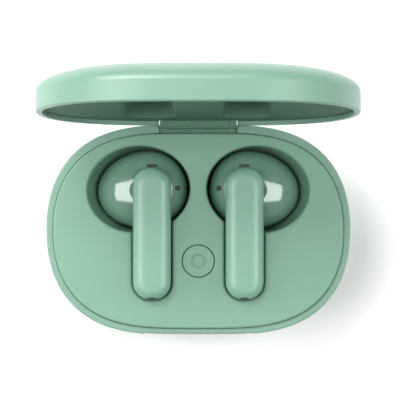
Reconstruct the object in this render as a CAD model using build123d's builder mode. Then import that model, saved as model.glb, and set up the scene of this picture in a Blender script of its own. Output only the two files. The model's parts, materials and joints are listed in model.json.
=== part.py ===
from build123d import *
import os
from math import acos, cos, hypot, pi, radians, sin, sqrt

# Wireless earbuds case with both earbuds docked, standing open.
# Millimetres. The origin is the middle of the flat foot: +X right, +Y to the hinge, +Z up.
# Everything is placed in a frame where the lid is shut, and the lid is then swung open.

# ---------------------------------------------------------------- driving dimensions
# Case outline, a superellipse in plan
HALF_WIDTH = 30.0
HALF_DEPTH = 20.8
WIDTH_POWER = 3.46
DEPTH_POWER = 2.17

# Heights
RIM_Z = 17.6
LID_HEIGHT = 8.1
BASE_STRAIGHT = 2.0
LID_STRAIGHT = 3.9
FOOT_SHARE = 0.55
CROWN_SHARE = 0.3
DECK_RISE = 0.7

# Walls and gaps
BASE_WALL = 1.25
BASE_BACK_WALL = 1.6
BASE_FLOOR = 1.2
LID_WALL = 1.2
DECK_THICKNESS = 1.2
TUB_WALL = 0.8
SKIRT_WALL = 0.9
SKIRT_DEPTH = 3.9
INSERT_GAP = 0.12
PARTING_GAP = 0.12
RIM_ROUND = 0.3
DECK_ROUND = 0.35
MOUTH_ROUND = 0.5
BUTTON_ROUND = 0.12
POCKET_ROUND = 0.7

# Hinge
OPEN_ANGLE = 93.6
HINGE_IN = 0.05
HINGE_UP = 0.4
BARREL_RADIUS = 0.9
BARREL_GAP = 0.25
PIN_RADIUS = 0.45
PIN_SEAT_GAP = 0.02
PIN_END_DROP = 0.1
PIN_RUNNING_GAP = 0.04
SLOT_WIDTH = 15.4
SLOT_FRONT_Y = 18.9
KNUCKLE_WIDTH = 1.36
KNUCKLE_GAP = 0.1
BRACKET_SIDE_GAP = 0.15
BRACKET_PLATE = 0.8
BRACKET_TOP_DROP = 0.35
SHELF_DROP = 2.9
SHELF_THICKNESS = 2.1
SHELF_FRONT_Y = 16.4
SHELF_HALF_WIDTH = 5.6
ARM_PLATE = 0.8
ARM_FRONT_Y = 14.6
ARM_BAR_DEPTH = 0.55
ARM_GROOVE = 0.15

# Thumb notch at the front
NOTCH_WIDTH = 21.5
NOTCH_DEPTH = 0.7
NOTCH_DROP = 4.0
NOTCH_ROUND = 0.6
NOTCH_UPRIGHT_SHARE = 0.33
NOTCH_OVERRUN = 1.3

# Earbuds: the head is an egg in plan, fuller on the outside
HEAD_X = 9.9
HEAD_Y = 7.95
HEAD_INNER = 7.7
HEAD_OUTER = 10.1
HEAD_HALF_DEPTH = 7.75
HEAD_TILT = -6.0
HEAD_DROP = 3.6
DOME_RISE = 4.3
DOME_POWER = 0.75
HEAD_DEPTH = 4.85
HEAD_ROUND_DEPTH = 5.6
HEAD_ROUND_POWER = 1.8
HEAD_ROUND_SHARE = 0.55
HEAD_WALL = 0.9
SEAM = 0.05
NOZZLE_X = 11.6
NOZZLE_Y = 7.1
NOZZLE_RADIUS = 2.4
NOZZLE_WALL = 0.7
NOZZLE_LENGTH = 1.6

# Stems
STEM_X = 9.1
STEM_WIDTH = 7.5
STEM_FRONT_Y = -13.8
STEM_BACK_Y = 12.3
STEM_CORNER = 3.6
STEM_ABOVE_RIM = 3.7
STEM_THICKNESS = 5.7
STEM_COVER_HEIGHT = 2.0
STEM_ROUND = 1.8
STEM_WALL = 1.0
STEM_GAP = 0.15

# Wells
WELL_X = 11.82
WELL_Y = 7.96
WELL_HALF_WIDTH = 10.13
WELL_HALF_DEPTH = 8.51
WELL_TILT = -4.9
WELL_DEPTH = 11.1
WELL_ROUND_DEPTH = 12.5
WELL_ROUND_POWER = 2.0
WELL_ROUND_SHARE = 0.5
WELL_LEAN = 0.15

# Lid pockets for the stems
LINER_RECESS = 0.8
LINER_THICKNESS = 0.8
POCKET_MOUTH_WIDTH = 9.5
POCKET_FLOOR_WIDTH = 6.8
POCKET_FRONT_Y = -14.8
POCKET_BACK_Y = 14.0
POCKET_DEPTH = 3.8
POCKET_CORNER = 3.0

# Button
BUTTON_Y = -6.15
BUTTON_RADIUS = 3.1
BUTTON_GAP = 0.17
BUTTON_TRAVEL = 0.35
BUTTON_DROP = 0.05

# Electronics
BOARD_Z = 2.2
BOARD_THICKNESS = 0.8
USB_WIDTH = 8.94
USB_HEIGHT = 3.2
USB_WALL = 0.3
USB_LENGTH = 7.35
USB_MOUTH_Y = 17.2
USB_GAP = 0.15
CELL_SIZE = (30.0, 11.4, 6.5)
CELL_FRONT_Y = -12.6
CELL_Z = 2.9
POGO_X = 8.2
POGO_Y = (5.6, 8.6)
POGO_RADIUS = 0.35
POGO_RUNNING_GAP = 0.05
POGO_BARREL_RADIUS = 0.6
POGO_TRAVEL = 0.8
CONTACT_RADIUS = 0.6
FIT_GAP = 0.05
MERGE = 0.1

# Curve finish: points in an outline and sections in a rounded form
OUTLINE_POINTS = 48
EGG_POINTS = 32
ROUND_STEPS = 8
PROFILE_STEPS = 400

# ---------------------------------------------------------------- worked-out places
deck_z = RIM_Z + DECK_RISE
deck_under_z = deck_z - DECK_THICKNESS
skirt_z = deck_z - SKIRT_DEPTH
lid_rim_z = RIM_Z + PARTING_GAP
hinge_y = HALF_DEPTH - HINGE_IN
hinge_z = RIM_Z + HINGE_UP
hinge_axis = Axis((0, hinge_y, hinge_z), (1, 0, 0))
inner_half_width = HALF_WIDTH - BASE_WALL
inner_half_depth = HALF_DEPTH - (BASE_WALL + BASE_BACK_WALL) / 2
inner_centre_y = (BASE_WALL - BASE_BACK_WALL) / 2
head_z = RIM_Z - HEAD_DROP
stem_top_z = RIM_Z + STEM_ABOVE_RIM
stem_bottom_z = stem_top_z - STEM_THICKNESS
stem_split_z = stem_top_z - STEM_COVER_HEIGHT
stem_middle_y = (STEM_FRONT_Y + STEM_BACK_Y) / 2
stem_length = STEM_BACK_Y - STEM_FRONT_Y
well_floor_z = deck_z - WELL_DEPTH
head_floor_z = head_z - HEAD_DEPTH
board_top_z = BOARD_Z + BOARD_THICKNESS
usb_z = board_top_z + USB_HEIGHT / 2
liner_face_z = lid_rim_z + LINER_RECESS
liner_back_z = liner_face_z + LINER_THICKNESS
shelf_top_z = RIM_Z - SHELF_DROP
bracket_half_width = SLOT_WIDTH / 2 - BRACKET_SIDE_GAP
bracket_top_z = RIM_Z - BRACKET_TOP_DROP

os.makedirs("parts", exist_ok=True)


# ---------------------------------------------------------------- shared forms
def finish(piece, node):
    """Name a finished piece and write it out."""
    piece.label = node
    export_step(piece, f"parts/{node}.step")


def finish_pair(piece, node):
    """Write a right-hand earbud piece and its mirrored left-hand twin."""
    finish(piece, f"right_{node}")
    finish(mirror(piece, about=Plane.YZ), f"left_{node}")


def finish_open(piece, node):
    """Swing a lid piece from shut to fully open and write it out."""
    finish(piece.rotate(hinge_axis, -OPEN_ANGLE), node)


def outline_reach(turn, half_x, half_y):
    """Distance from the middle to the superellipse along one direction, by bisection."""
    low = 0.0
    high = half_x + half_y
    for _ in range(50):
        middle = (low + high) / 2
        across = (middle * abs(cos(turn)) / half_x) ** WIDTH_POWER
        along = (middle * abs(sin(turn)) / half_y) ** DEPTH_POWER
        if across + along < 1:
            low = middle
        else:
            high = middle
    return low


def outline_face(z, half_x, half_y, centre_y=0.0):
    """The case's plan outline as a face at one height."""
    points = []
    for step in range(OUTLINE_POINTS):
        turn = 2 * pi * step / OUTLINE_POINTS
        reach = outline_reach(turn, half_x, half_y)
        points.append((reach * cos(turn), centre_y + reach * sin(turn)))
    with BuildSketch(Plane.XY.offset(z)) as section:
        with BuildLine():
            Spline(*points, periodic=True)
        make_face()
    return section.sketch


def outline_slab(low_z, high_z, half_x, half_y, centre_y=0.0):
    """A flat slab with the case's plan outline."""
    with BuildPart() as slab:
        add(outline_face(low_z, half_x, half_y, centre_y))
        extrude(amount=high_z - low_z)
    return slab.part


def round_levels(height, end_share, half_x):
    """Heights and plan shares down a rounded side, evenly spaced along its profile."""
    end_turn = acos(end_share**2)
    full_height = height / sin(end_turn)
    turns = [end_turn * step / PROFILE_STEPS for step in range(PROFILE_STEPS + 1)]
    profile = [(full_height * sin(turn), sqrt(cos(turn))) for turn in turns]
    lengths = [0.0]
    for low, high in zip(profile, profile[1:]):
        lengths.append(lengths[-1] + hypot(high[0] - low[0], half_x * (high[1] - low[1])))
    levels = []
    for step in range(ROUND_STEPS + 1):
        wanted = lengths[-1] * step / ROUND_STEPS
        nearest = min(range(PROFILE_STEPS + 1), key=lambda index: abs(lengths[index] - wanted))
        levels.append(profile[nearest])
    return levels


def pebble(half_x, half_y, height, straight, end_share, up, rim_z, centre_y=0.0):
    """A form that leaves its rim straight, then rounds over to a small flat end."""
    shoulder_z = rim_z + up * straight
    faces = []
    for rise, share in round_levels(height - straight, end_share, half_x):
        faces.append(outline_face(shoulder_z + up * rise, half_x * share, half_y * share, centre_y))
    with BuildPart() as body:
        add(outline_slab(min(rim_z, shoulder_z), max(rim_z, shoulder_z), half_x, half_y, centre_y))
        loft(faces)
    return body.part


def block(low, high):
    """A box from its lowest to its highest corner."""
    size = [high[axis] - low[axis] for axis in range(3)]
    with BuildPart() as body:
        with Locations(tuple(low)):
            Box(*size, align=(Align.MIN, Align.MIN, Align.MIN))
    return body.part


def post(x, y, low_z, high_z, radius):
    """An upright round bar."""
    with BuildPart() as body:
        with Locations((x, y, low_z)):
            Cylinder(radius, high_z - low_z, align=(Align.CENTER, Align.CENTER, Align.MIN))
    return body.part


def bar_x(low_x, high_x, y, z, radius):
    """A round bar along X."""
    with BuildPart() as body:
        with BuildSketch(Plane.YZ.offset(low_x)):
            with Locations((y, z)):
                Circle(radius)
        extrude(amount=high_x - low_x)
    return body.part


def egg_face(z, share, centre_x, centre_y, wall):
    """The head's egg-shaped plan at one height, for the right-hand earbud."""
    tilt = radians(HEAD_TILT)
    points = []
    for step in range(EGG_POINTS):
        turn = 2 * pi * step / EGG_POINTS
        full = HEAD_OUTER if cos(turn) > 0 else HEAD_INNER
        out = (full - wall) * share * cos(turn)
        back = (HEAD_HALF_DEPTH - wall) * share * sin(turn)
        points.append((centre_x + out * cos(tilt) - back * sin(tilt), centre_y + out * sin(tilt) + back * cos(tilt)))
    with BuildSketch(Plane.XY.offset(z)) as section:
        with BuildLine():
            Spline(*points, periodic=True)
        make_face()
    return section.sketch


def head_dome(wall=0.0):
    """The domed upper half of the head."""
    last_turn = radians(75)
    faces = []
    for step in range(ROUND_STEPS + 1):
        turn = last_turn * step / ROUND_STEPS
        rise = (DOME_RISE - wall) * sin(turn) / sin(last_turn)
        faces.append(egg_face(head_z + rise, cos(turn) ** DOME_POWER, HEAD_X, HEAD_Y, wall))
    with BuildPart() as body:
        loft(faces)
    return body.part


def head_bowl(wall=0.0, top_z=head_z):
    """The ear-side lower half of the head, which leans towards the sound nozzle."""
    depth = HEAD_DEPTH - wall
    faces = []
    for step in range(ROUND_STEPS + 1):
        drop = depth * sin(pi / 2 * step / ROUND_STEPS)
        share = (1 - (drop / HEAD_ROUND_DEPTH) ** HEAD_ROUND_POWER) ** HEAD_ROUND_SHARE
        lean = (drop / HEAD_DEPTH) ** 2
        centre_x = HEAD_X + (NOZZLE_X - HEAD_X) * lean
        centre_y = HEAD_Y + (NOZZLE_Y - HEAD_Y) * lean
        faces.append(egg_face(top_z - drop, share, centre_x, centre_y, wall))
    with BuildPart() as body:
        loft(faces)
    return body.part


def stem_bar(low_z, high_z, inset=0.0):
    """The stem's long rounded bar between two heights."""
    corner = max(STEM_CORNER - inset, 0.2)
    with BuildPart() as body:
        with BuildSketch(Plane.XY.offset(low_z)):
            with Locations((STEM_X, stem_middle_y)):
                RectangleRounded(STEM_WIDTH - 2 * inset, stem_length - 2 * inset, corner)
        extrude(amount=high_z - low_z)
    return body.part


def well_bowl(wall=0.0):
    """One well's hollow, or with a wall its tub, for the right-hand earbud."""
    faces = []
    for step in range(ROUND_STEPS + 1):
        drop = WELL_DEPTH * sin(pi / 2 * step / ROUND_STEPS)
        share = (1 - (drop / WELL_ROUND_DEPTH) ** WELL_ROUND_POWER) ** WELL_ROUND_SHARE
        centre_x = WELL_X - WELL_LEAN * drop
        z = deck_z - drop
        if step == ROUND_STEPS:
            z = z - wall
        with BuildSketch(Plane.XY.offset(z)) as section:
            with Locations((centre_x, WELL_Y)):
                Ellipse(WELL_HALF_WIDTH * share + wall, WELL_HALF_DEPTH * sqrt(share) + wall, rotation=WELL_TILT)
        faces.append(section.sketch)
    with BuildPart() as body:
        loft(faces)
    return body.part


def lid_pocket(wall=0.0, low_z=liner_face_z):
    """A lid pocket's hollow, or with a wall its tub: it narrows from mouth to floor."""
    middle_y = (POCKET_FRONT_Y + POCKET_BACK_Y) / 2
    length = POCKET_BACK_Y - POCKET_FRONT_Y
    narrowing = POCKET_MOUTH_WIDTH - POCKET_FLOOR_WIDTH
    with BuildPart() as body:
        with BuildSketch(Plane.XY.offset(low_z)):
            with Locations((STEM_X, middle_y)):
                RectangleRounded(POCKET_MOUTH_WIDTH + 2 * wall, length + 2 * wall, POCKET_CORNER + wall)
        with BuildSketch(Plane.XY.offset(liner_face_z + POCKET_DEPTH + wall)):
            with Locations((STEM_X, middle_y)):
                RectangleRounded(POCKET_FLOOR_WIDTH + 2 * wall, length - narrowing + 2 * wall, POCKET_CORNER - 0.7 + wall)
        loft()
    return body.part


def notch_scoop():
    """The thumb notch's cutter: upright at the rim, then slanting out, with rounded ends."""
    back_y = -HALF_DEPTH + NOTCH_DEPTH
    front_y = back_y - 3 * NOTCH_DEPTH
    corner_z = RIM_Z - NOTCH_DROP * NOTCH_UPRIGHT_SHARE
    end_z = RIM_Z - NOTCH_DROP * NOTCH_OVERRUN
    with BuildPart() as scoop:
        with BuildSketch(Plane.YZ.offset(-NOTCH_WIDTH / 2)):
            with BuildLine():
                Polyline(
                    (back_y, RIM_Z + 1),
                    (back_y, corner_z),
                    (front_y, end_z),
                    (front_y, RIM_Z + 1),
                    close=True,
                )
            make_face()
        extrude(amount=NOTCH_WIDTH)
        inner_faces = scoop.faces().filter_by(Axis.Y).sort_by(Axis.Y)
        fillet(inner_faces[-1].edges().filter_by(Axis.Z), NOTCH_ROUND)
    return scoop.part


# ---------------------------------------------------------------- base shell
pilot_radius = 0.55
pilot_floor = 0.4
board_post_radius = 1.4
board_screw_x = 12.6
board_screw_y = 1.2
bracket_screw_x = 4.4
bracket_screw_y = 17.3
pipe_z = 12.2
pipe_radius = 0.6
ledge_width = 0.8
ledge_thickness = 1.0
shelf_pilot_z = shelf_top_z - SHELF_THICKNESS + pilot_floor

with BuildPart() as base_shell:
    add(pebble(HALF_WIDTH, HALF_DEPTH, RIM_Z, BASE_STRAIGHT, FOOT_SHARE, -1, RIM_Z))
    fillet(base_shell.faces().sort_by(Axis.Z)[-1].edges(), RIM_ROUND)
    inner_height = RIM_Z - BASE_FLOOR
    add(
        pebble(
            inner_half_width, inner_half_depth, inner_height, BASE_STRAIGHT, FOOT_SHARE, -1, RIM_Z, inner_centre_y
        ),
        mode=Mode.SUBTRACT,
    )
    # Ledge that the cradle's skirt stands on
    ledge_top = skirt_z - FIT_GAP
    ledge = outline_slab(
        ledge_top - ledge_thickness, ledge_top, inner_half_width + FIT_GAP, inner_half_depth + FIT_GAP, inner_centre_y
    )
    hollow = outline_slab(
        ledge_top - ledge_thickness,
        ledge_top,
        inner_half_width - ledge_width,
        inner_half_depth - ledge_width,
        inner_centre_y,
    )
    add(ledge - hollow)
    # Shelf for the hinge bracket
    add(
        block(
            (-SHELF_HALF_WIDTH, SHELF_FRONT_Y, shelf_top_z - SHELF_THICKNESS),
            (SHELF_HALF_WIDTH, HALF_DEPTH - BASE_WALL, shelf_top_z),
        )
    )
    # Board posts
    for side in (-1, 1):
        add(post(side * board_screw_x, board_screw_y, BASE_FLOOR / 2, BOARD_Z - FIT_GAP, board_post_radius))
    # Hinge slot through the back wall
    add(
        block((-SLOT_WIDTH / 2, SHELF_FRONT_Y, shelf_top_z), (SLOT_WIDTH / 2, HALF_DEPTH + 2, RIM_Z + 1)),
        mode=Mode.SUBTRACT,
    )
    # Screw pilots
    for side in (-1, 1):
        add(
            post(side * bracket_screw_x, bracket_screw_y, shelf_pilot_z, shelf_top_z, pilot_radius),
            mode=Mode.SUBTRACT,
        )
        add(post(side * board_screw_x, board_screw_y, BASE_FLOOR, BOARD_Z, pilot_radius), mode=Mode.SUBTRACT)
    # Charging port
    with BuildSketch(Plane.XZ.offset(-HALF_DEPTH)):
        with Locations((0, usb_z)):
            SlotOverall(USB_WIDTH + 2 * USB_GAP, USB_HEIGHT + 2 * USB_GAP)
    extrude(amount=HALF_DEPTH / 2, mode=Mode.SUBTRACT)
    # Light pipe's hole in the front wall
    with BuildSketch(Plane.XZ.offset(HALF_DEPTH)):
        with Locations((0, pipe_z)):
            Circle(pipe_radius + FIT_GAP)
    extrude(amount=-BASE_WALL * 2, mode=Mode.SUBTRACT)
    # Thumb notch: a shallow scoop that fades out downwards, with softened ends
    scoop = notch_scoop()
    add(scoop, mode=Mode.SUBTRACT)
finish(base_shell.part, "base_shell")

# ---------------------------------------------------------------- cradle
deck_half_width = inner_half_width - INSERT_GAP
deck_half_depth = inner_half_depth - INSERT_GAP
trough_floor_z = stem_bottom_z - 2 * FIT_GAP
button_post_x = 4.1
button_post_radius = 0.8
button_post_low_y = BUTTON_Y - 4.3
button_post_high_y = BUTTON_Y + 4.1
button_board_z = 13.0
button_board_thickness = 0.6
button_board_top_z = button_board_z + button_board_thickness

with BuildPart() as cradle:
    add(outline_slab(skirt_z, deck_z, deck_half_width, deck_half_depth, inner_centre_y))
    fillet(cradle.faces().sort_by(Axis.Z)[-1].edges(), DECK_ROUND)
    add(
        outline_slab(
            skirt_z, deck_under_z, deck_half_width - SKIRT_WALL, deck_half_depth - SKIRT_WALL, inner_centre_y
        ),
        mode=Mode.SUBTRACT,
    )
    # Clear way for the hinge bracket and the lid's arm
    add(
        block(
            (-SLOT_WIDTH / 2 - FIT_GAP, SHELF_FRONT_Y, skirt_z - 1),
            (SLOT_WIDTH / 2 + FIT_GAP, HALF_DEPTH, deck_under_z),
        ),
        mode=Mode.SUBTRACT,
    )
    # Tubs of the wells and troughs
    tub = well_bowl(TUB_WALL)
    trough = stem_bar(trough_floor_z - TUB_WALL, deck_under_z + MERGE, -STEM_GAP - TUB_WALL)
    add(tub)
    add(mirror(tub, about=Plane.YZ))
    add(trough)
    add(mirror(trough, about=Plane.YZ))
    # Posts for the button board
    for side in (-1, 1):
        for y in (button_post_low_y, button_post_high_y):
            add(post(side * button_post_x, y, button_board_top_z, deck_under_z + MERGE, button_post_radius))
    # Hollows
    well = well_bowl() + stem_bar(trough_floor_z, deck_z + 1, -STEM_GAP)
    add(well, mode=Mode.SUBTRACT)
    add(mirror(well, about=Plane.YZ), mode=Mode.SUBTRACT)
    add(post(0, BUTTON_Y, deck_under_z - 1, deck_z + 1, BUTTON_RADIUS + BUTTON_GAP), mode=Mode.SUBTRACT)
    add(
        block((-SLOT_WIDTH / 2, SLOT_FRONT_Y, skirt_z - 1), (SLOT_WIDTH / 2, HALF_DEPTH, deck_z + 1)),
        mode=Mode.SUBTRACT,
    )
    # Softened mouths of the wells, troughs and button hole
    deck_face = cradle.faces().filter_by(Plane.XY).sort_by(Axis.Z)[-1]
    mouths = deck_face.inner_wires().sort_by(SortBy.LENGTH)
    fillet(mouths[0].edges(), BUTTON_ROUND)
    for mouth in mouths[1:]:
        fillet(mouth.edges(), MOUTH_ROUND)
    # Holes for the spring pins
    for side in (-1, 1):
        for y in POGO_Y:
            add(
                post(side * POGO_X, y, well_floor_z - 2, head_floor_z + 1.5, POGO_BARREL_RADIUS + FIT_GAP),
                mode=Mode.SUBTRACT,
            )
finish(cradle.part, "cradle")

# ---------------------------------------------------------------- hinge
bracket_seat_z = shelf_top_z
narrow_middle = bracket_half_width - KNUCKLE_WIDTH / 2
narrow_knuckles = (-narrow_middle, 0.0, narrow_middle)
wide_inner = KNUCKLE_WIDTH / 2 + KNUCKLE_GAP
wide_outer = bracket_half_width - KNUCKLE_WIDTH - KNUCKLE_GAP
bracket_front_gap = 0.1
bracket_back_gap = 0.2
apron_front_y = SLOT_FRONT_Y + bracket_front_gap
apron_back_y = hinge_y - BARREL_RADIUS
apron_top_z = hinge_z - BARREL_RADIUS - BARREL_GAP

with BuildPart() as hinge_bracket:
    add(
        block(
            (-SHELF_HALF_WIDTH, SHELF_FRONT_Y, bracket_seat_z),
            (SHELF_HALF_WIDTH, apron_back_y, bracket_seat_z + BRACKET_PLATE),
        )
    )
    add(
        block(
            (-bracket_half_width, apron_front_y, bracket_seat_z),
            (bracket_half_width, apron_back_y, bracket_top_z),
        )
    )
    add(
        block(
            (-bracket_half_width, apron_front_y, bracket_seat_z),
            (bracket_half_width, HALF_DEPTH - bracket_back_gap, apron_top_z),
        )
    )
    for middle in narrow_knuckles:
        low_x = middle - KNUCKLE_WIDTH / 2
        high_x = middle + KNUCKLE_WIDTH / 2
        add(block((low_x, apron_back_y - MERGE, bracket_seat_z + BRACKET_PLATE), (high_x, hinge_y, hinge_z - BARREL_RADIUS / 2)))
        add(bar_x(low_x, high_x, hinge_y, hinge_z, BARREL_RADIUS))
    add(
        bar_x(-bracket_half_width - 1, bracket_half_width + 1, hinge_y, hinge_z, PIN_RADIUS + PIN_SEAT_GAP),
        mode=Mode.SUBTRACT,
    )
    for side in (-1, 1):
        add(
            post(
                side * bracket_screw_x,
                bracket_screw_y,
                bracket_seat_z - 1,
                bracket_seat_z + 2,
                pilot_radius + FIT_GAP,
            ),
            mode=Mode.SUBTRACT,
        )
finish(hinge_bracket.part, "hinge_bracket")

with BuildPart() as hinge_pin:
    pin_half_length = bracket_half_width - PIN_END_DROP
    add(bar_x(-pin_half_length, pin_half_length, hinge_y, hinge_z, PIN_RADIUS))
finish(hinge_pin.part, "hinge_pin")

screw_head_radius = 1.05
screw_head_height = 0.6
screw_radius = pilot_radius - FIT_GAP
screw_reach = 1.5

with BuildPart() as bracket_screws:
    for side in (-1, 1):
        plate_top = bracket_seat_z + BRACKET_PLATE
        add(post(side * bracket_screw_x, bracket_screw_y, plate_top, plate_top + screw_head_height, screw_head_radius))
        add(post(side * bracket_screw_x, bracket_screw_y, shelf_top_z - screw_reach, plate_top + MERGE, screw_radius))
finish(bracket_screws.part, "bracket_screws")

# ---------------------------------------------------------------- lid
arm_gap = 0.15
arm_neck_height = 1.2
arm_riser_lead = 0.6
arm_neck_front_y = SLOT_FRONT_Y + arm_gap
arm_neck_low_z = RIM_Z - FIT_GAP
arm_neck_top_z = arm_neck_low_z + arm_neck_height
arm_riser_front_y = SLOT_FRONT_Y - arm_riser_lead
arm_riser_back_y = HALF_DEPTH - LID_WALL - arm_gap
arm_plate_z = liner_back_z + 2 * FIT_GAP
arm_boss_radius = 1.2
arm_boss_top_z = lid_rim_z + 5.9
arm_screw_reach = 2.2
arm_screw_x = 3.6
arm_screw_y = 16.4
lid_notch_top_z = hinge_z + BARREL_RADIUS + BARREL_GAP

with BuildPart() as lid_shell:
    add(pebble(HALF_WIDTH, HALF_DEPTH, LID_HEIGHT, LID_STRAIGHT, CROWN_SHARE, 1, lid_rim_z))
    fillet(lid_shell.faces().sort_by(Axis.Z)[0].edges(), RIM_ROUND)
    lid_inner_half_width = HALF_WIDTH - LID_WALL
    lid_inner_half_depth = HALF_DEPTH - LID_WALL
    lid_inner_height = LID_HEIGHT - LID_WALL
    add(
        pebble(lid_inner_half_width, lid_inner_half_depth, lid_inner_height, LID_STRAIGHT, CROWN_SHARE, 1, lid_rim_z),
        mode=Mode.SUBTRACT,
    )
    for side in (-1, 1):
        add(post(side * arm_screw_x, arm_screw_y, arm_plate_z + ARM_PLATE, arm_boss_top_z, arm_boss_radius))
    add(
        block((-SLOT_WIDTH / 2, SLOT_FRONT_Y, lid_rim_z - 1), (SLOT_WIDTH / 2, HALF_DEPTH + 1, lid_notch_top_z)),
        mode=Mode.SUBTRACT,
    )
    for side in (-1, 1):
        add(
            post(side * arm_screw_x, arm_screw_y, arm_plate_z, arm_plate_z + ARM_PLATE + arm_screw_reach, pilot_radius),
            mode=Mode.SUBTRACT,
        )
finish_open(lid_shell.part, "lid_shell")

with BuildPart() as lid_liner:
    add(
        outline_slab(
            liner_face_z, liner_back_z, HALF_WIDTH - LID_WALL - INSERT_GAP, HALF_DEPTH - LID_WALL - INSERT_GAP
        )
    )
    pocket_tub = lid_pocket(TUB_WALL)
    add(pocket_tub)
    add(mirror(pocket_tub, about=Plane.YZ))
    pocket = lid_pocket()
    add(pocket, mode=Mode.SUBTRACT)
    add(mirror(pocket, about=Plane.YZ), mode=Mode.SUBTRACT)
    liner_face = lid_liner.faces().filter_by(Plane.XY).sort_by(Axis.Z)[0]
    for mouth in liner_face.inner_wires():
        fillet(mouth.edges(), POCKET_ROUND)
    add(
        block(
            (-SLOT_WIDTH / 2, arm_riser_front_y - 2 * FIT_GAP, liner_face_z - 1),
            (SLOT_WIDTH / 2, HALF_DEPTH, liner_back_z + 1),
        ),
        mode=Mode.SUBTRACT,
    )
finish_open(lid_liner.part, "lid_liner")

with BuildPart() as hinge_arm:
    for side in (-1, 1):
        low_x = min(side * wide_inner, side * wide_outer)
        high_x = max(side * wide_inner, side * wide_outer)
        add(bar_x(low_x, high_x, hinge_y, hinge_z, BARREL_RADIUS))
        add(block((low_x, arm_neck_front_y, arm_neck_low_z), (high_x, hinge_y, arm_neck_top_z)))
        add(block((low_x, arm_riser_front_y, liner_face_z), (high_x, arm_riser_back_y, arm_plate_z + ARM_PLATE)))
    add(block((-wide_outer, ARM_FRONT_Y, arm_plate_z), (wide_outer, arm_riser_back_y, arm_plate_z + ARM_PLATE)))
    # Front bar that ties both knuckles together, with a fine groove at each knuckle's end
    bar_back_y = arm_neck_front_y + ARM_BAR_DEPTH
    add(
        block(
            (-bracket_half_width, arm_neck_front_y, arm_neck_low_z), (bracket_half_width, bar_back_y, arm_neck_top_z)
        )
    )
    for x in (-wide_outer, -wide_inner, wide_inner, wide_outer):
        groove_low = (x - ARM_GROOVE / 2, arm_neck_front_y - 1, arm_neck_low_z - 1)
        groove_high = (x + ARM_GROOVE / 2, arm_neck_front_y + ARM_GROOVE, liner_face_z - FIT_GAP)
        add(block(groove_low, groove_high), mode=Mode.SUBTRACT)
    add(
        bar_x(-bracket_half_width, bracket_half_width, hinge_y, hinge_z, PIN_RADIUS + PIN_RUNNING_GAP),
        mode=Mode.SUBTRACT,
    )
    for side in (-1, 1):
        with Locations((side * arm_screw_x, arm_screw_y, arm_plate_z)):
            Cone(
                screw_head_radius + FIT_GAP,
                pilot_radius + FIT_GAP,
                screw_head_height,
                align=(Align.CENTER, Align.CENTER, Align.MIN),
                mode=Mode.SUBTRACT,
            )
        add(
            post(side * arm_screw_x, arm_screw_y, arm_plate_z, arm_plate_z + 2, pilot_radius + FIT_GAP),
            mode=Mode.SUBTRACT,
        )
finish_open(hinge_arm.part, "hinge_arm")

with BuildPart() as arm_screws:
    for side in (-1, 1):
        with Locations((side * arm_screw_x, arm_screw_y, arm_plate_z)):
            Cone(
                screw_head_radius,
                screw_radius,
                screw_head_height,
                align=(Align.CENTER, Align.CENTER, Align.MIN),
            )
        screw_end_z = arm_plate_z + ARM_PLATE + arm_screw_reach - 4 * FIT_GAP
        add(post(side * arm_screw_x, arm_screw_y, arm_plate_z + screw_head_height / 2, screw_end_z, screw_radius))
finish_open(arm_screws.part, "arm_screws")

magnet_x = 15.0
magnet_y = -15.6
magnet_size = (4.0, 2.0, 1.5)

with BuildPart() as lid_magnets:
    for side in (-1, 1):
        with Locations((side * magnet_x, magnet_y, liner_back_z + FIT_GAP)):
            Box(*magnet_size, align=(Align.CENTER, Align.CENTER, Align.MIN))
finish_open(lid_magnets.part, "lid_magnets")

with BuildPart() as base_magnets:
    for side in (-1, 1):
        with Locations((side * magnet_x, magnet_y, deck_under_z - FIT_GAP)):
            Box(*magnet_size, align=(Align.CENTER, Align.CENTER, Align.MAX))
finish(base_magnets.part, "base_lid_magnets")

# ---------------------------------------------------------------- button
button_top_z = deck_z - BUTTON_DROP
button_flange_gap = 0.15
button_flange_thickness = 0.5
button_flange_lap = 0.5
button_stud_radius = 1.0
button_flange_top_z = deck_under_z - button_flange_gap
button_flange_low_z = button_flange_top_z - button_flange_thickness
switch_body_height = 1.0
switch_height = 1.4
switch_size = 4.2
switch_stud_radius = 1.1
switch_top_z = button_board_top_z + switch_height

with BuildPart() as reset_button:
    add(post(0, BUTTON_Y, button_flange_low_z + MERGE, button_top_z, BUTTON_RADIUS))
    fillet(reset_button.faces().sort_by(Axis.Z)[-1].edges(), BUTTON_ROUND)
    add(post(0, BUTTON_Y, button_flange_low_z, button_flange_top_z, BUTTON_RADIUS + BUTTON_GAP + button_flange_lap))
    add(post(0, BUTTON_Y, switch_top_z + BUTTON_TRAVEL + FIT_GAP, button_flange_top_z, button_stud_radius))
finish(reset_button.part, "reset_button")

button_board_margin = 1.0

with BuildPart() as button_board:
    board_middle_y = (button_post_low_y + button_post_high_y) / 2
    with BuildSketch(Plane.XY.offset(button_board_z)):
        with Locations((0, board_middle_y)):
            board_width = 2 * (button_post_x + button_board_margin)
            board_length = button_post_high_y - button_post_low_y + 2 * button_board_margin
            RectangleRounded(board_width, board_length, button_post_radius)
    extrude(amount=button_board_thickness)
finish(button_board.part, "button_board")

with BuildPart() as tact_switch:
    with Locations((0, BUTTON_Y, button_board_top_z)):
        Box(switch_size, switch_size, switch_body_height, align=(Align.CENTER, Align.CENTER, Align.MIN))
    add(post(0, BUTTON_Y, button_board_top_z, switch_top_z, switch_stud_radius))
finish(tact_switch.part, "tact_switch")

led_y = button_post_low_y - 0.2
led_size = (1.6, 0.8, 1.2)
pipe_end_drop = 0.35

with BuildPart() as status_led:
    with Locations((0, led_y, button_board_z)):
        Box(*led_size, align=(Align.CENTER, Align.CENTER, Align.MAX))
finish(status_led.part, "status_led")

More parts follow.
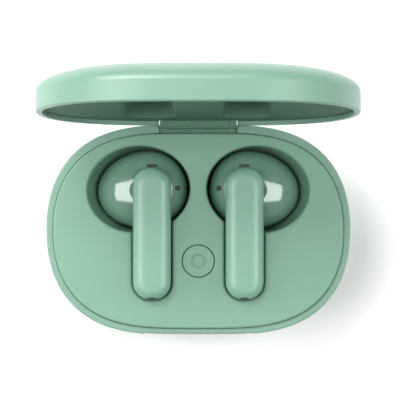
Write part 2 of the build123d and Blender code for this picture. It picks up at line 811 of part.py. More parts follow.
with BuildPart() as light_pipe:
    pipe_start = -led_y + led_size[1] / 2 + FIT_GAP
    with BuildSketch(Plane.XZ.offset(pipe_start)):
        with Locations((0, pipe_z)):
            Circle(pipe_radius)
    extrude(amount=HALF_DEPTH - pipe_end_drop - pipe_start)
finish(light_pipe.part, "led_light_pipe")

# ---------------------------------------------------------------- case electronics
board_half_width = 14.4
board_front_y = -0.6
board_back_y = 11.6
board_chamfer = 3.0

with BuildPart() as main_board:
    with BuildSketch(Plane.XY.offset(BOARD_Z)):
        with Locations((0, (board_front_y + board_back_y) / 2)):
            outline = Rectangle(2 * board_half_width, board_back_y - board_front_y)
        chamfer(outline.vertices().group_by(Axis.Y)[-1], board_chamfer)
    extrude(amount=BOARD_THICKNESS)
    for side in (-1, 1):
        add(
            post(side * board_screw_x, board_screw_y, BOARD_Z - 1, board_top_z + 1, pilot_radius + FIT_GAP),
            mode=Mode.SUBTRACT,
        )
finish(main_board.part, "main_board")

with BuildPart() as board_screws:
    for side in (-1, 1):
        add(post(side * board_screw_x, board_screw_y, board_top_z, board_top_z + screw_head_height, screw_head_radius))
        add(post(side * board_screw_x, board_screw_y, BASE_FLOOR + FIT_GAP, board_top_z + MERGE, screw_radius))
finish(board_screws.part, "board_screws")

controller_size = 4.0
controller_y = 3.4
passive_size = (1.6, 0.8)
passive_x = 3.9
passive_y = (2.2, 4.6)
low_height = 0.8
coil_size = (2.5, 2.0)
coil_place = (11.6, 9.0)
coil_height = 1.0

with BuildPart() as board_components:
    with BuildSketch(Plane.XY.offset(board_top_z)):
        with Locations((0, controller_y)):
            Rectangle(controller_size, controller_size)
        with Locations(*[(side * passive_x, y) for side in (-1, 1) for y in passive_y]):
            Rectangle(*passive_size)
    extrude(amount=low_height)
    with BuildSketch(Plane.XY.offset(board_top_z)):
        with Locations((-coil_place[0], coil_place[1]), coil_place):
            Rectangle(*coil_size)
    extrude(amount=coil_height)
finish(board_components.part, "board_components")

usb_back_y = USB_MOUTH_Y - USB_LENGTH
usb_back_wall = 0.6
tongue_size = (6.7, 5.4, 0.7)

with BuildPart() as usb_receptacle:
    with BuildSketch(Plane.XZ.offset(-USB_MOUTH_Y)):
        with Locations((0, usb_z)):
            SlotOverall(USB_WIDTH, USB_HEIGHT)
    extrude(amount=USB_LENGTH)
    with BuildSketch(Plane.XZ.offset(-USB_MOUTH_Y)):
        with Locations((0, usb_z)):
            SlotOverall(USB_WIDTH - 2 * USB_WALL, USB_HEIGHT - 2 * USB_WALL)
    extrude(amount=USB_LENGTH - usb_back_wall, mode=Mode.SUBTRACT)
finish(usb_receptacle.part, "usb_c_receptacle")

with BuildPart() as usb_tongue:
    with Locations((0, usb_back_y + usb_back_wall, usb_z)):
        Box(*tongue_size, align=(Align.CENTER, Align.MIN, Align.CENTER))
finish(usb_tongue.part, "usb_c_tongue")

cell_middle_y = CELL_FRONT_Y + CELL_SIZE[1] / 2
cell_round = 1.2
foam_size = (18.0, 6.2)

with BuildPart() as battery_cell:
    with Locations((0, cell_middle_y, CELL_Z)):
        Box(*CELL_SIZE, align=(Align.CENTER, Align.CENTER, Align.MIN))
    fillet(battery_cell.edges().filter_by(Axis.X), cell_round)
finish(battery_cell.part, "battery_cell")

with BuildPart() as foam_pad:
    with Locations((0, cell_middle_y, BASE_FLOOR + FIT_GAP)):
        Box(*foam_size, CELL_Z - BASE_FLOOR - 2 * FIT_GAP, align=(Align.CENTER, Align.CENTER, Align.MIN))
finish(foam_pad.part, "battery_foam_pad")

flex_half_width = 1.6
flex_thickness = 0.2
flex_reach = 1.4
flex_rise = 1.4
flex_y = CELL_FRONT_Y + CELL_SIZE[1]

with BuildPart() as battery_flex:
    flex_far_y = flex_y + flex_reach
    flex_top_z = board_top_z + flex_rise
    add(block((-flex_half_width, flex_y, flex_top_z - flex_thickness), (flex_half_width, flex_far_y, flex_top_z)))
    add(block((-flex_half_width, flex_far_y - flex_thickness, board_top_z), (flex_half_width, flex_far_y, flex_top_z)))
finish(battery_flex.part, "battery_flex")

# ---------------------------------------------------------------- spring pins and docking magnets
plunger_top_z = head_floor_z - FIT_GAP
barrel_floor = 0.6
barrel_top_z = plunger_top_z - POGO_TRAVEL - 0.3
plunger_bottom_z = board_top_z + barrel_floor + POGO_TRAVEL + 0.4
pin_middle_y = sum(POGO_Y) / 2
block_size = (2.4, POGO_Y[1] - POGO_Y[0] + 2.2, 2.6)
dock_magnet_place = (14.8, 7.6)
dock_magnet_radius = 2.2
dock_magnet_top_z = well_floor_z - TUB_WALL - 2 * FIT_GAP
dock_magnet_height = 1.6

for side, hand in ((1, "right"), (-1, "left")):
    with BuildPart() as pogo_block:
        with Locations((side * POGO_X, pin_middle_y, board_top_z)):
            Box(*block_size, align=(Align.CENTER, Align.CENTER, Align.MIN))
        for y in POGO_Y:
            add(
                post(side * POGO_X, y, board_top_z - 1, board_top_z + 4, POGO_BARREL_RADIUS + PIN_SEAT_GAP),
                mode=Mode.SUBTRACT,
            )
    finish(pogo_block.part, f"pogo_block_{hand}")

    with BuildPart() as pogo_barrels:
        for y in POGO_Y:
            add(post(side * POGO_X, y, board_top_z, barrel_top_z, POGO_BARREL_RADIUS))
            add(
                post(side * POGO_X, y, board_top_z + barrel_floor, barrel_top_z + 1, POGO_RADIUS + POGO_RUNNING_GAP),
                mode=Mode.SUBTRACT,
            )
    finish(pogo_barrels.part, f"pogo_barrels_{hand}")

    for y, place in zip(POGO_Y, ("front", "rear")):
        with BuildPart() as plunger:
            add(post(side * POGO_X, y, plunger_bottom_z, plunger_top_z, POGO_RADIUS))
            fillet(plunger.faces().sort_by(Axis.Z)[-1].edges(), POGO_RADIUS / 2)
        finish(plunger.part, f"pogo_plunger_{hand}_{place}")

    with BuildPart() as dock_magnet:
        magnet_x, magnet_y = side * dock_magnet_place[0], dock_magnet_place[1]
        add(post(magnet_x, magnet_y, dock_magnet_top_z - dock_magnet_height, dock_magnet_top_z, dock_magnet_radius))
    finish(dock_magnet.part, f"cradle_magnet_{hand}")

# ---------------------------------------------------------------- earbuds (right-hand one, mirrored for the left)
contact_top_z = head_floor_z + 1.2
cover_wall = 1.4
vent_x = 4.05
vent_y = 8.2
vent_radius = 0.5
vent_cut = 1.6
vent_thickness = 0.6
vent_top_z = head_z + 2.95
slot_y = STEM_BACK_Y + 0.15
slot_width = 1.9
slot_depth = 0.45
slot_top_z = head_z + 3.5
mic_width = 1.8
mic_depth = 0.36
mic_y = STEM_FRONT_Y + 0.18
mic_notch_radius = 2.2
mic_notch_reach = 0.6
mic_seat = 0.3
mic_thickness = 0.25

with BuildPart() as body_shell:
    add(head_dome())
    add(stem_bar(stem_bottom_z, stem_split_z))
    add(head_dome(HEAD_WALL), mode=Mode.SUBTRACT)
    add(stem_bar(stem_bottom_z + STEM_WALL, stem_split_z + 1, STEM_WALL), mode=Mode.SUBTRACT)
    add(post(vent_x, vent_y, vent_top_z - vent_cut, vent_top_z + 2, vent_radius + FIT_GAP), mode=Mode.SUBTRACT)
    add(
        block(
            (STEM_X - slot_width / 2 - FIT_GAP, slot_y - FIT_GAP, slot_top_z - vent_cut),
            (STEM_X + slot_width / 2 + FIT_GAP, slot_y + slot_depth + FIT_GAP, slot_top_z + 2),
        ),
        mode=Mode.SUBTRACT,
    )
    add(
        block(
            (STEM_X - mic_width / 2 - FIT_GAP, mic_y - FIT_GAP, stem_split_z - mic_seat),
            (STEM_X + mic_width / 2 + FIT_GAP, mic_y + mic_depth + FIT_GAP, stem_split_z + 1),
        ),
        mode=Mode.SUBTRACT,
    )
finish_pair(body_shell.part, "body_shell")

with BuildPart() as stem_cover:
    add(stem_bar(stem_split_z + SEAM, stem_top_z))
    fillet(stem_cover.faces().sort_by(Axis.Z)[-1].edges(), STEM_ROUND)
    add(stem_bar(stem_split_z, stem_top_z - STEM_WALL, cover_wall), mode=Mode.SUBTRACT)
    # Arc-shaped notch at the tip that opens onto the microphone mesh
    notch_middle_y = STEM_FRONT_Y + mic_notch_reach - mic_notch_radius
    add(post(STEM_X, notch_middle_y, stem_split_z, stem_top_z + 1, mic_notch_radius), mode=Mode.SUBTRACT)
finish_pair(stem_cover.part, "stem_cover")

with BuildPart() as ear_shell:
    add(head_bowl(0.0, head_z - SEAM))
    add(post(NOZZLE_X, NOZZLE_Y, head_floor_z - NOZZLE_LENGTH, head_floor_z + 0.3, NOZZLE_RADIUS))
    add(head_bowl(HEAD_WALL, head_z - SEAM), mode=Mode.SUBTRACT)
    add(
        post(NOZZLE_X, NOZZLE_Y, head_floor_z - NOZZLE_LENGTH - 1, head_z, NOZZLE_RADIUS - NOZZLE_WALL),
        mode=Mode.SUBTRACT,
    )
    for y in POGO_Y:
        add(post(POGO_X, y, head_floor_z - 1, contact_top_z + 1, CONTACT_RADIUS + FIT_GAP), mode=Mode.SUBTRACT)
finish_pair(ear_shell.part, "ear_shell")

mesh_thickness = 0.2

with BuildPart() as nozzle_mesh:
    mesh_z = head_floor_z - NOZZLE_LENGTH + mesh_thickness
    add(post(NOZZLE_X, NOZZLE_Y, mesh_z, mesh_z + mesh_thickness, NOZZLE_RADIUS - NOZZLE_WALL - FIT_GAP))
finish_pair(nozzle_mesh.part, "nozzle_mesh")

driver_x = HEAD_X + 1.0
driver_y = HEAD_Y - 0.3
driver_low_z = head_z - 3.1
driver_thickness = 2.2
driver_radius = 4.5
driver_magnet_radius = 2.6
driver_magnet_rise = 0.2

with BuildPart() as driver:
    add(post(driver_x, driver_y, driver_low_z, driver_low_z + driver_thickness, driver_radius))
    magnet_top_z = driver_low_z + driver_thickness + driver_magnet_rise
    add(post(driver_x, driver_y, driver_low_z, magnet_top_z, driver_magnet_radius))
finish_pair(driver.part, "driver")

bud_cell_radius = 4.1
bud_cell_height = 3.0
bud_cell_drop = 0.6

with BuildPart() as bud_cell:
    add(post(HEAD_X, HEAD_Y, head_z - bud_cell_drop, head_z - bud_cell_drop + bud_cell_height, bud_cell_radius))
finish_pair(bud_cell.part, "coin_cell")

bud_board_half_width = 2.2
bud_board_front_y = STEM_FRONT_Y + 2.4
bud_board_back_y = 2.6
bud_board_z = stem_bottom_z + 1.4
bud_board_top_z = bud_board_z + 0.6
radio_half_width = 1.5
radio_front_y = STEM_FRONT_Y + 3.0
radio_length = 3.0
radio_height = 0.8

with BuildPart() as bud_board:
    add(
        block(
            (STEM_X - bud_board_half_width, bud_board_front_y, bud_board_z),
            (STEM_X + bud_board_half_width, bud_board_back_y, bud_board_top_z),
        )
    )
    add(
        block(
            (STEM_X - radio_half_width, radio_front_y, bud_board_top_z),
            (STEM_X + radio_half_width, radio_front_y + radio_length, bud_board_top_z + radio_height),
        )
    )
finish_pair(bud_board.part, "bud_board")

pad_half_width = 2.0
pad_front_y = stem_middle_y - 4.0
pad_length = 10.0
pad_thickness = 0.2
pad_top_z = stem_top_z - STEM_WALL - FIT_GAP

with BuildPart() as touch_pad:
    add(
        block(
            (STEM_X - pad_half_width, pad_front_y, pad_top_z - pad_thickness),
            (STEM_X + pad_half_width, pad_front_y + pad_length, pad_top_z),
        )
    )
finish_pair(touch_pad.part, "touch_pad")

with BuildPart() as contacts:
    for y in POGO_Y:
        add(post(POGO_X, y, head_floor_z, contact_top_z, CONTACT_RADIUS))
finish_pair(contacts.part, "charge_contacts")

with BuildPart() as mic_mesh:
    add(
        block(
            (STEM_X - mic_width / 2, mic_y, stem_split_z - mic_thickness),
            (STEM_X + mic_width / 2, mic_y + mic_depth, stem_split_z),
        )
    )
finish_pair(mic_mesh.part, "mic_mesh")

with BuildPart() as vent_meshes:
    add(post(vent_x, vent_y, vent_top_z - vent_thickness, vent_top_z, vent_radius))
    add(
        block(
            (STEM_X - slot_width / 2, slot_y, slot_top_z - vent_thickness),
            (STEM_X + slot_width / 2, slot_y + slot_depth, slot_top_z),
        )
    )
finish_pair(vent_meshes.part, "vent_meshes")

bud_magnet_place = (15.3, 6.7)
bud_magnet_radius = 1.2
bud_magnet_height = 0.7

with BuildPart() as bud_magnet:
    magnet_low_z = head_floor_z + HEAD_WALL + FIT_GAP
    add(post(*bud_magnet_place, magnet_low_z, magnet_low_z + bud_magnet_height, bud_magnet_radius))
finish_pair(bud_magnet.part, "bud_magnet")
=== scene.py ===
import json

import bpy
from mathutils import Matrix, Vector


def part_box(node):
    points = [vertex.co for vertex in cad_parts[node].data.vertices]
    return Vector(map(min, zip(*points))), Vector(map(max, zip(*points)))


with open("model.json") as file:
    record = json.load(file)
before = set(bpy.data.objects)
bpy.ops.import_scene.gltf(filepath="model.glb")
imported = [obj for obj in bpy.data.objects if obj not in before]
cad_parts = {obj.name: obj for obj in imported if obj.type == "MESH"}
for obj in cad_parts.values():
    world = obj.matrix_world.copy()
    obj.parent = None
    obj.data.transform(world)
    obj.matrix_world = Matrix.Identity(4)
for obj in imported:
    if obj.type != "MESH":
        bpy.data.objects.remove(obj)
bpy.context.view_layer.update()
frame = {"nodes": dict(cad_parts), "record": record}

MILLIMETRE = 0.001
RIM_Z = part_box("base_shell")[1].z

# Colours, linear
SAGE = (0.160, 0.300, 0.222)
SAGE_DECK = (0.160, 0.310, 0.224)
# The liner's sage is darkened as painted shade for the shadowed inside of the lid.
SAGE_LINER_PAINTED_SHADE = (0.088, 0.170, 0.120)
# The hinge's sage is darkened as painted shade for the shadow that falls on the hinge.
SAGE_HINGE_PAINTED_SHADE = (0.110, 0.215, 0.150)
# The earbuds' sage is darkened as painted shade for the dark reflections at the rims of the heads.
SAGE_BUD_PAINTED_SHADE = (0.130, 0.250, 0.182)
SAGE_STEM = (0.170, 0.340, 0.248)
BARE_PLASTIC = (0.42, 0.60, 0.52)
DUST = (0.55, 0.62, 0.58)
STEEL = (0.55, 0.56, 0.58)
GOLD = (0.90, 0.62, 0.22)
NICKEL = (0.62, 0.62, 0.60)
SOLDER_MASK = (0.012, 0.080, 0.035)
COPPER_TRACK = (0.030, 0.140, 0.065)
EPOXY = (0.022, 0.022, 0.024)
FOIL = (0.60, 0.61, 0.63)
FILM = (0.60, 0.26, 0.04)
FOAM = (0.035, 0.035, 0.038)
MESH_WIRE = (0.10, 0.12, 0.11)
CLEAR = (0.75, 0.85, 0.80)
LAMP = (0.85, 0.86, 0.74)
PHOSPHOR = (0.82, 0.74, 0.38)
BOARD_EDGE = (0.32, 0.28, 0.16)
CHIP_EDGE = (0.09, 0.09, 0.095)
FLOOR_PALE = (0.90, 0.90, 0.90)
FLOOR_PALER = (0.93, 0.93, 0.93)
ROOM_COLOUR = (1.0, 1.0, 1.0, 1.0)

# Moulded plastic: patterns per millimetre, and how far its rubbed edges reach, in millimetres
DRIFT_PER_MM = 0.05
GRAIN_PER_MM = 7.0
PITS_PER_MM = 2.2
SPECKS_PER_MM = 0.42
HANDLING_PER_MM = 0.35
RUB_REACH = 0.22
PITS_SHARE = 0.6

# Metal: patterns per millimetre, and how far its bright edges reach, in millimetres
STREAKS_PER_MM = 3.0
SMUDGES_PER_MM = 0.9
METAL_EDGE_REACH = 0.1

# Small features, in millimetres
RING_RADIUS = 1.25
RING_OUTER_HALF = 0.30
RING_CORE_HALF = 0.20
RING_STRENGTH = 0.55
STEM_SOFTNESS = 1.8

# Camera: where it stands in metres, lens and sensor in millimetres
CAMERA_PLACE = (0.000335, 0.00587, RIM_Z + 0.344)
CAMERA_LENS = 157.0
CAMERA_SENSOR = 36.0
CAMERA_NEAR = 0.01
CAMERA_FAR = 5.0

# Floor, in metres: half its side, and how far it lies under the case
FLOOR_HALF = 2.0
FLOOR_DROP = 0.00002
FLOOR_ROUGHNESS = 0.9
FLOOR_LEVEL = 0.1

# Lights: name, place and size in metres, power in watts, and whether reflections show it
LIGHT_TARGET = (0.0, 0.0, 0.015)
LIGHTS = (
    ("key", (-0.18, 0.38, 0.48), (0.28, 0.28), 3.1, True),
    ("left_box", (-0.26, -0.01, 0.52), (0.31, 0.31), 1.48, True),
    ("right_box", (0.26, -0.02, 0.50), (0.28, 0.29), 1.19, True),
    ("left_side_box", (-0.45, 0.06, 0.20), (0.40, 0.28), 1.7, False),
    ("right_side_box", (0.45, 0.06, 0.20), (0.40, 0.28), 1.0, False),
)
ROOM_STRENGTH = 0.18


# ---------------------------------------------------------------- building blocks for materials
def new_material(name):
    """An empty material with its shader; returns the material, its nodes' tree and the shader."""
    material = bpy.data.materials.new(name)
    material.use_nodes = True
    tree = material.node_tree
    return material, tree, tree.nodes["Principled BSDF"]


def millimetres(tree, stretch=(1.0, 1.0, 1.0)):
    """Positions on the piece in millimetres, stretched along each axis."""
    place = tree.nodes.new("ShaderNodeTexCoord")
    scale = tree.nodes.new("ShaderNodeVectorMath")
    scale.operation = "MULTIPLY"
    scale.inputs[1].default_value = [value / MILLIMETRE for value in stretch]
    tree.links.new(place.outputs["Object"], scale.inputs[0])
    return scale.outputs[0]


def noise(tree, place, per_mm, detail=3.0, rough=0.5):
    """Soft random pattern with so many grains per millimetre."""
    node = tree.nodes.new("ShaderNodeTexNoise")
    node.inputs["Scale"].default_value = per_mm
    node.inputs["Detail"].default_value = detail
    node.inputs["Roughness"].default_value = rough
    tree.links.new(place, node.inputs["Vector"])
    return node.outputs["Fac"]


def cells(tree, place, per_mm, feature="F1"):
    """Cell pattern with so many cells per millimetre."""
    node = tree.nodes.new("ShaderNodeTexVoronoi")
    node.feature = feature
    node.inputs["Scale"].default_value = per_mm
    tree.links.new(place, node.inputs["Vector"])
    return node.outputs["Distance"]


def remap(tree, value, low, high, to_low, to_high):
    """Stretch a value from one range to another, clamped."""
    node = tree.nodes.new("ShaderNodeMapRange")
    node.inputs["From Min"].default_value = low
    node.inputs["From Max"].default_value = high
    node.inputs["To Min"].default_value = to_low
    node.inputs["To Max"].default_value = to_high
    tree.links.new(value, node.inputs["Value"])
    return node.outputs["Result"]


def combine(tree, operation, first, second):
    """Arithmetic on two values, the second of which may be a plain number."""
    node = tree.nodes.new("ShaderNodeMath")
    node.operation = operation
    tree.links.new(first, node.inputs[0])
    if isinstance(second, float):
        node.inputs[1].default_value = second
    else:
        tree.links.new(second, node.inputs[1])
    return node.outputs[0]


def blend(tree, factor, first, second):
    """Mix two colours, each either a plain colour or a socket."""
    node = tree.nodes.new("ShaderNodeMix")
    node.data_type = "RGBA"
    tree.links.new(factor, node.inputs["Factor"])
    for socket, colour in ((node.inputs[6], first), (node.inputs[7], second)):
        if isinstance(colour, tuple):
            socket.default_value = (*colour, 1.0)
        else:
            tree.links.new(colour, socket)
    return node.outputs[2]


def edge_mask(tree, reach_mm, low, high):
    """One along edges and corners, nothing on open faces."""
    bevel = tree.nodes.new("ShaderNodeBevel")
    bevel.samples = 4
    bevel.inputs["Radius"].default_value = reach_mm * MILLIMETRE
    surface = tree.nodes.new("ShaderNodeNewGeometry")
    turn = tree.nodes.new("ShaderNodeVectorMath")
    turn.operation = "DOT_PRODUCT"
    tree.links.new(bevel.outputs["Normal"], turn.inputs[0])
    tree.links.new(surface.outputs["Normal"], turn.inputs[1])
    return remap(tree, turn.outputs["Value"], 1.0 - low, 1.0 - high, 0.0, 1.0)


def bump(tree, shader, height, height_mm, strength=1.0):
    """Surface relief from a height value."""
    node = tree.nodes.new("ShaderNodeBump")
    node.inputs["Strength"].default_value = strength
    node.inputs["Distance"].default_value = height_mm * MILLIMETRE
    tree.links.new(height, node.inputs["Height"])
    tree.links.new(node.outputs["Normal"], shader.inputs["Normal"])
    return node


def shade(colour, factor):
    """A colour made lighter or darker."""
    return tuple(min(1.0, channel * factor) for channel in colour)


def moulded_plastic(
    name, colour, roughness, grain_mm, coat=0.0, coat_roughness=0.1, wear=0.35, level=0.5, smudge=0.05
):
    """Moulded plastic: slow colour drift, fine grain, paler rubbed edges and a little dust."""
    material, tree, shader = new_material(name)
    place = millimetres(tree)
    drift = noise(tree, place, DRIFT_PER_MM, 2.0)
    grain = noise(tree, place, GRAIN_PER_MM, 4.0, 0.6)
    pits = noise(tree, place, PITS_PER_MM, 2.0)
    drifted = remap(tree, drift, 0.3, 0.7, 0.0, 1.0)
    tone = blend(tree, drifted, shade(colour, 0.965), shade(colour, 1.035))
    tone = blend(tree, remap(tree, grain, 0.35, 0.65, 0.0, 0.16), tone, shade(colour, 0.86))
    edges = edge_mask(tree, RUB_REACH, 0.03, 0.35)
    rub = combine(tree, "MULTIPLY", edges, remap(tree, pits, 0.42, 0.62, 0.25, 1.0))
    tone = blend(tree, combine(tree, "MULTIPLY", rub, wear), tone, BARE_PLASTIC)
    specks = remap(tree, cells(tree, place, SPECKS_PER_MM), 0.035, 0.02, 0.0, 0.22)
    tone = blend(tree, specks, tone, DUST)
    tree.links.new(tone, shader.inputs["Base Color"])
    handling = noise(tree, place, HANDLING_PER_MM, 3.0)
    gloss = remap(tree, handling, 0.3, 0.7, roughness * (1.0 - smudge), roughness * (1.0 + smudge))
    tree.links.new(combine(tree, "ADD", gloss, specks), shader.inputs["Roughness"])
    shader.inputs["Specular IOR Level"].default_value = level
    shader.inputs["Coat Weight"].default_value = coat
    shader.inputs["Coat Roughness"].default_value = coat_roughness
    relief = combine(tree, "ADD", grain, combine(tree, "MULTIPLY", pits, PITS_SHARE))
    bump(tree, shader, relief, grain_mm)
    return material


# ---------------------------------------------------------------- one material for each finish
def case_plastic():
    """Satin plastic of the outer shells."""
    return moulded_plastic("case_plastic", SAGE, 0.36, 0.004, level=0.7)


def deck_plastic():
    """Slightly duller plastic of the raised deck."""
    return moulded_plastic("deck_plastic", SAGE_DECK, 0.44, 0.006)


def liner_plastic():
    """Matt plastic inside the lid, its colour darkened as painted shade."""
    return moulded_plastic("liner_plastic", SAGE_LINER_PAINTED_SHADE, 0.60, 0.006, level=0.04)


def hinge_plastic():
    """Plain plastic of the hinge, darker than the case as painted shade."""
    return moulded_plastic("hinge_plastic", SAGE_HINGE_PAINTED_SHADE, 0.48, 0.006, level=0.15)


def button_plastic():
    """The deck's plastic with a fine printed ring as a plain mark in the middle of the button."""
    material = moulded_plastic("button_plastic", SAGE_DECK, 0.40, 0.006)
    tree = material.node_tree
    shader = tree.nodes["Principled BSDF"]
    low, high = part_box("reset_button")
    middle = (low + high) / 2
    place = tree.nodes.new("ShaderNodeTexCoord")
    flat = tree.nodes.new("ShaderNodeVectorMath")
    flat.operation = "MULTIPLY"
    flat.inputs[1].default_value = (1, 1, 0)
    tree.links.new(place.outputs["Object"], flat.inputs[0])
    reach = tree.nodes.new("ShaderNodeVectorMath")
    reach.operation = "DISTANCE"
    reach.inputs[1].default_value = (middle.x, middle.y, 0)
    tree.links.new(flat.outputs[0], reach.inputs[0])
    past_ring = combine(tree, "SUBTRACT", reach.outputs["Value"], RING_RADIUS * MILLIMETRE)
    off_ring = combine(tree, "ABSOLUTE", past_ring, 0.0)
    outer = RING_OUTER_HALF * MILLIMETRE
    core = RING_CORE_HALF * MILLIMETRE
    ring = remap(tree, off_ring, outer, core, 0.0, RING_STRENGTH)
    tone = shader.inputs["Base Color"].links[0].from_socket
    tree.links.new(blend(tree, ring, tone, shade(SAGE_DECK, 0.55)), shader.inputs["Base Color"])
    return material


def earbud_gloss():
    """Polished plastic of the heads, its colour darkened as painted shade."""
    return moulded_plastic(
        "earbud_gloss", SAGE_BUD_PAINTED_SHADE, 0.15, 0.0012,
        coat=1.0, coat_roughness=0.05, wear=0.1, level=0.9, smudge=0.02,
    )


def stem_satin():
    """Silky plastic of the stems, its long edges shaded as one soft curve."""
    material = moulded_plastic(
        "stem_satin", SAGE_STEM, 0.34, 0.0008,
        coat=0.1, coat_roughness=0.25, wear=0.1, level=0.8, smudge=0.01,
    )
    tree = material.node_tree
    soft = tree.nodes.new("ShaderNodeBevel")
    soft.samples = 8
    soft.inputs["Radius"].default_value = STEM_SOFTNESS * MILLIMETRE
    relief = tree.nodes["Principled BSDF"].inputs["Normal"].links[0].from_node
    tree.links.new(soft.outputs["Normal"], relief.inputs["Normal"])
    return material


def metal(name, colour, roughness, stretch, grain_mm):
    """Metal with drawn or plated streaks, dull smudges and brighter edges."""
    material, tree, shader = new_material(name)
    streaks = noise(tree, millimetres(tree, stretch), STREAKS_PER_MM, 5.0, 0.7)
    smudge = noise(tree, millimetres(tree), SMUDGES_PER_MM, 3.0)
    drawn = remap(tree, streaks, 0.3, 0.7, 0.0, 1.0)
    tone = blend(tree, drawn, shade(colour, 0.85), shade(colour, 1.08))
    tone = blend(tree, remap(tree, smudge, 0.5, 0.75, 0.0, 0.4), tone, shade(colour, 0.6))
    tone = blend(tree, edge_mask(tree, METAL_EDGE_REACH, 0.03, 0.4), tone, shade(colour, 1.25))
    tree.links.new(tone, shader.inputs["Base Color"])
    shader.inputs["Metallic"].default_value = 1.0
    gloss = remap(tree, smudge, 0.3, 0.7, roughness - 0.06, roughness + 0.08)
    tree.links.new(gloss, shader.inputs["Roughness"])
    bump(tree, shader, streaks, grain_mm)
    return material


def steel():
    """Drawn steel of pins and screws."""
    return metal("steel", STEEL, 0.30, (6.0, 0.6, 6.0), 0.01)


def gold():
    """Gold plating of the charging contacts."""
    return metal("gold", GOLD, 0.22, (2.0, 2.0, 0.5), 0.005)


def magnet():
    """Nickel plating of the magnets."""
    return metal("magnet", NICKEL, 0.26, (1.0, 1.0, 1.0), 0.004)


def board():
    """Solder mask over fine copper tracks."""
    material, tree, shader = new_material("board")
    place = millimetres(tree)
    cut = cells(tree, millimetres(tree, (1.0, 0.35, 1.0)), 1.4, "DISTANCE_TO_EDGE")
    tracks = remap(tree, cut, 0.04, 0.06, 1.0, 0.0)
    cloud = noise(tree, place, 0.5, 3.0)
    tone = blend(tree, tracks, SOLDER_MASK, COPPER_TRACK)
    tone = blend(tree, remap(tree, cloud, 0.4, 0.7, 0.0, 0.3), tone, shade(SOLDER_MASK, 0.6))
    tone = blend(tree, edge_mask(tree, 0.15, 0.05, 0.4), tone, BOARD_EDGE)
    tree.links.new(tone, shader.inputs["Base Color"])
    tree.links.new(remap(tree, cloud, 0.3, 0.7, 0.22, 0.34), shader.inputs["Roughness"])
    bump(tree, shader, tracks, 0.02)
    return material


def chip():
    """Black moulded epoxy with a sandy surface."""
    material, tree, shader = new_material("chip")
    place = millimetres(tree)
    sand = noise(tree, place, 12.0, 4.0, 0.7)
    cloud = noise(tree, place, 0.8, 2.0)
    tone = blend(tree, sand, shade(EPOXY, 0.7), shade(EPOXY, 1.6))
    tone = blend(tree, edge_mask(tree, 0.12, 0.05, 0.4), tone, CHIP_EDGE)
    tree.links.new(tone, shader.inputs["Base Color"])
    tree.links.new(remap(tree, cloud, 0.3, 0.7, 0.5, 0.65), shader.inputs["Roughness"])
    bump(tree, shader, sand, 0.02)
    return material


def cell_foil():
    """Laminated battery foil with soft dents and creases."""
    material, tree, shader = new_material("cell_foil")
    place = millimetres(tree)
    dents = noise(tree, place, 0.35, 3.0)
    creases = remap(tree, cells(tree, place, 0.25, "DISTANCE_TO_EDGE"), 0.0, 0.05, 1.0, 0.0)
    tone = blend(tree, dents, shade(FOIL, 0.85), shade(FOIL, 1.1))
    tree.links.new(tone, shader.inputs["Base Color"])
    shader.inputs["Metallic"].default_value = 0.9
    tree.links.new(remap(tree, dents, 0.3, 0.7, 0.3, 0.45), shader.inputs["Roughness"])
    bump(tree, shader, combine(tree, "ADD", dents, creases), 0.08)
    return material


def flex_film():
    """Amber film with printed lines showing through."""
    material, tree, shader = new_material("flex_film")
    place = millimetres(tree)
    lines = remap(tree, noise(tree, millimetres(tree, (5.0, 0.4, 1.0)), 1.2, 1.0), 0.48, 0.52, 0.0, 1.0)
    cloud = noise(tree, place, 1.5, 3.0)
    tone = blend(tree, lines, FILM, shade(FILM, 0.55))
    tone = blend(tree, remap(tree, cloud, 0.4, 0.7, 0.0, 0.25), tone, shade(FILM, 1.3))
    tree.links.new(tone, shader.inputs["Base Color"])
    tree.links.new(remap(tree, cloud, 0.3, 0.7, 0.25, 0.4), shader.inputs["Roughness"])
    bump(tree, shader, lines, 0.01)
    return material


def foam():
    """Open-cell foam."""
    material, tree, shader = new_material("foam")
    holes = cells(tree, millimetres(tree), 3.0)
    tone = blend(tree, remap(tree, holes, 0.1, 0.5, 0.0, 1.0), shade(FOAM, 0.4), shade(FOAM, 1.8))
    tree.links.new(tone, shader.inputs["Base Color"])
    tree.links.new(remap(tree, holes, 0.0, 0.6, 0.95, 0.8), shader.inputs["Roughness"])
    bump(tree, shader, holes, 0.15)
    return material


def mesh():
    """Woven wire mesh, its threads a fifth of a millimetre apart."""
    material, tree, shader = new_material("mesh")
    waves = []
    for direction in ("X", "Y"):
        wave = tree.nodes.new("ShaderNodeTexWave")
        wave.bands_direction = direction
        wave.inputs["Scale"].default_value = 1.6
        tree.links.new(millimetres(tree), wave.inputs["Vector"])
        waves.append(wave.outputs["Fac"])
    weave = combine(tree, "MAXIMUM", waves[0], waves[1])
    soil = noise(tree, millimetres(tree), 1.5, 3.0)
    tone = blend(tree, remap(tree, weave, 0.5, 0.9, 0.0, 1.0), shade(MESH_WIRE, 0.15), MESH_WIRE)
    tone = blend(tree, remap(tree, soil, 0.5, 0.75, 0.0, 0.4), tone, shade(MESH_WIRE, 0.5))
    tree.links.new(tone, shader.inputs["Base Color"])
    shader.inputs["Metallic"].default_value = 0.6
    tree.links.new(remap(tree, soil, 0.3, 0.7, 0.35, 0.55), shader.inputs["Roughness"])
    bump(tree, shader, weave, 0.04)
    return material


def clear():
    """Diffusing clear plastic of the light pipe."""
    material, tree, shader = new_material("clear")
    haze = noise(tree, millimetres(tree), 1.8, 3.0)
    tone = blend(tree, haze, shade(CLEAR, 0.92), CLEAR)
    tone = blend(tree, edge_mask(tree, 0.1, 0.05, 0.4), tone, shade(CLEAR, 1.15))
    tree.links.new(tone, shader.inputs["Base Color"])
    tree.links.new(remap(tree, haze, 0.3, 0.7, 0.25, 0.4), shader.inputs["Roughness"])
    shader.inputs["Transmission Weight"].default_value = 0.5
    bump(tree, shader, haze, 0.01)
    return material


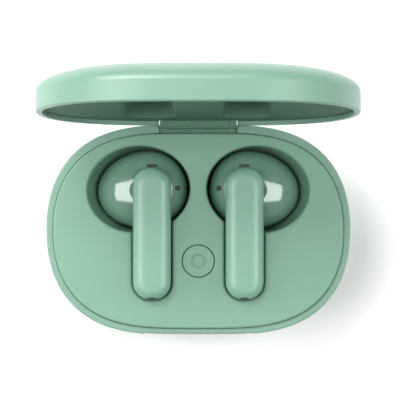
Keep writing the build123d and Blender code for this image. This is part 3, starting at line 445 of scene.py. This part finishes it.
def led():
    """Pale lens over the lamp, with a yellowish phosphor inside."""
    material, tree, shader = new_material("led")
    place = millimetres(tree)
    phosphor = noise(tree, place, 4.0, 3.0)
    tone = blend(tree, remap(tree, phosphor, 0.35, 0.65, 0.0, 1.0), LAMP, PHOSPHOR)
    tree.links.new(tone, shader.inputs["Base Color"])
    tree.links.new(remap(tree, phosphor, 0.3, 0.7, 0.15, 0.25), shader.inputs["Roughness"])
    bump(tree, shader, phosphor, 0.005)
    return material


FINISHES = (
    case_plastic, deck_plastic, liner_plastic, hinge_plastic, button_plastic, earbud_gloss, stem_satin,
    steel, gold, magnet, board, chip, cell_foil, flex_film, foam, mesh, clear, led,
)


def dress_frame():
    """Give every CAD node smooth shading and the finish its record slot names."""
    made = {finish.__name__: finish() for finish in FINISHES}
    slots = {row["node"]: row["material_slot"] for row in frame["record"]["subparts"]}
    for node, piece in frame["nodes"].items():
        piece.data.materials.clear()
        piece.data.materials.append(made[slots[node]])
        piece.data.polygons.foreach_set("use_smooth", [True] * len(piece.data.polygons))


# ---------------------------------------------------------------- surroundings
def aim(thing, place, target):
    """Stand a thing at a place, turned towards the target."""
    thing.location = place
    thing.rotation_mode = "QUATERNION"
    thing.rotation_quaternion = (Vector(target) - Vector(place)).to_track_quat("-Z", "Y")
    bpy.context.scene.collection.objects.link(thing)


def add_camera():
    """A long lens straight above the case."""
    data = bpy.data.cameras.new("camera")
    data.sensor_width = CAMERA_SENSOR
    data.lens = CAMERA_LENS
    data.clip_start = CAMERA_NEAR
    data.clip_end = CAMERA_FAR
    camera = bpy.data.objects.new("camera", data)
    camera.location = CAMERA_PLACE
    bpy.context.scene.collection.objects.link(camera)
    bpy.context.scene.camera = camera


def add_floor():
    """Plain pale table top."""
    half, below = FLOOR_HALF, -FLOOR_DROP
    data = bpy.data.meshes.new("floor")
    corners = [(-half, -half, below), (half, -half, below), (half, half, below), (-half, half, below)]
    data.from_pydata(corners, [], [(0, 1, 2, 3)])
    material, tree, shader = new_material("floor")
    paper = noise(tree, millimetres(tree), 0.02, 2.0)
    tree.links.new(blend(tree, paper, FLOOR_PALE, FLOOR_PALER), shader.inputs["Base Color"])
    shader.inputs["Roughness"].default_value = FLOOR_ROUGHNESS
    shader.inputs["Specular IOR Level"].default_value = FLOOR_LEVEL
    data.materials.append(material)
    floor = bpy.data.objects.new("floor", data)
    bpy.context.scene.collection.objects.link(floor)


def add_area(name, place, size, power, in_reflections):
    """A soft box aimed at the case."""
    data = bpy.data.lights.new(name, "AREA")
    data.shape = "RECTANGLE"
    data.size, data.size_y = size
    data.energy = power
    light = bpy.data.objects.new(name, data)
    light.visible_glossy = in_reflections
    aim(light, place, LIGHT_TARGET)


def add_lights():
    """A key behind on the left, a soft box overhead on each side, two low boxes, and a dim room."""
    for row in LIGHTS:
        add_area(*row)
    world = bpy.data.worlds.new("world")
    world.use_nodes = True
    background = world.node_tree.nodes["Background"]
    background.inputs["Color"].default_value = ROOM_COLOUR
    background.inputs["Strength"].default_value = ROOM_STRENGTH
    bpy.context.scene.world = world
    bpy.context.scene.view_settings.view_transform = "Standard"


dress_frame()
add_camera()
add_floor()
add_lights()
